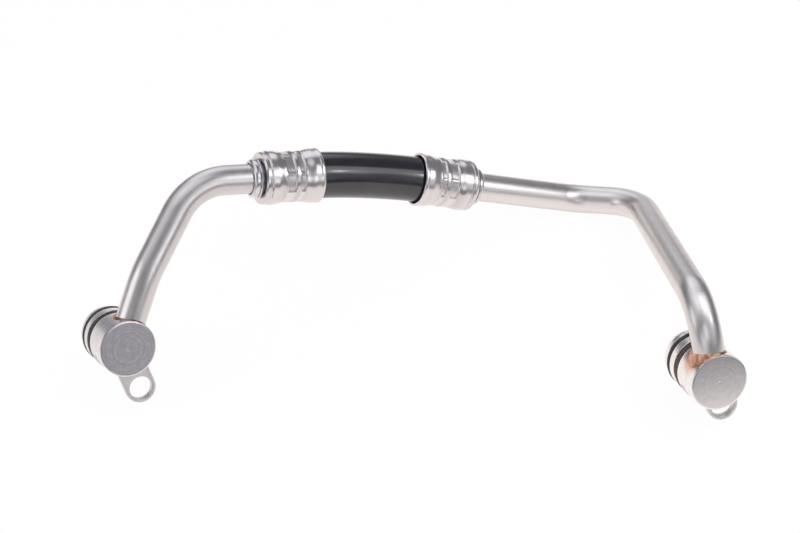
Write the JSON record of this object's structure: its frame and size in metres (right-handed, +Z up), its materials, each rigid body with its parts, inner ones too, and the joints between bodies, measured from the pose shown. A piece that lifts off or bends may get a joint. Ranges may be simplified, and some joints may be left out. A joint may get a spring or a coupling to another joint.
{
  "type": "turbo oil feed line",
  "caption": "Bent steel oil line with a short crimped rubber hose in its middle and a brazed, bolt-down O-ring plug at each end.",
  "frame": {"origin": "under the middle of the line's bounding box, on the surface that it lies on", "axes": "+X from the left fitting to the right one, +Y away from the viewer of the picture, +Z up"},
  "size_m": [0.1722, 0.0906, 0.0489],
  "materials": {
    "pipe_steel": "satin drawn tube",
    "turned_steel": "fine turned",
    "stamped_steel": "matt stamped",
    "ferrule_steel": "bright pressed shell with crimp flats",
    "braze": "copper braze fillet",
    "hose_rubber": "smooth, half glossy",
    "o_ring_rubber": "matt black",
    "aged_o_ring_rubber": "matt dark brown"
  },
  "bodies": {
    "root": {"left_plug_body": "turned_steel", "left_o_ring_inner": "o_ring_rubber", "left_o_ring_outer": "o_ring_rubber", "left_bolt_tab": "stamped_steel", "left_tab_braze": "braze", "left_tube_braze": "braze", "left_pipe": "pipe_steel", "left_hose_insert": "turned_steel", "left_ferrule": "ferrule_steel", "hose": "hose_rubber", "right_ferrule": "ferrule_steel", "right_hose_insert": "turned_steel", "right_pipe": "pipe_steel", "right_tube_braze": "braze", "right_tab_braze": "braze", "right_bolt_tab": "stamped_steel", "right_plug_body": "turned_steel", "right_o_ring_inner": "aged_o_ring_rubber", "right_o_ring_outer": "o_ring_rubber"}
  },
  "joints": []
}
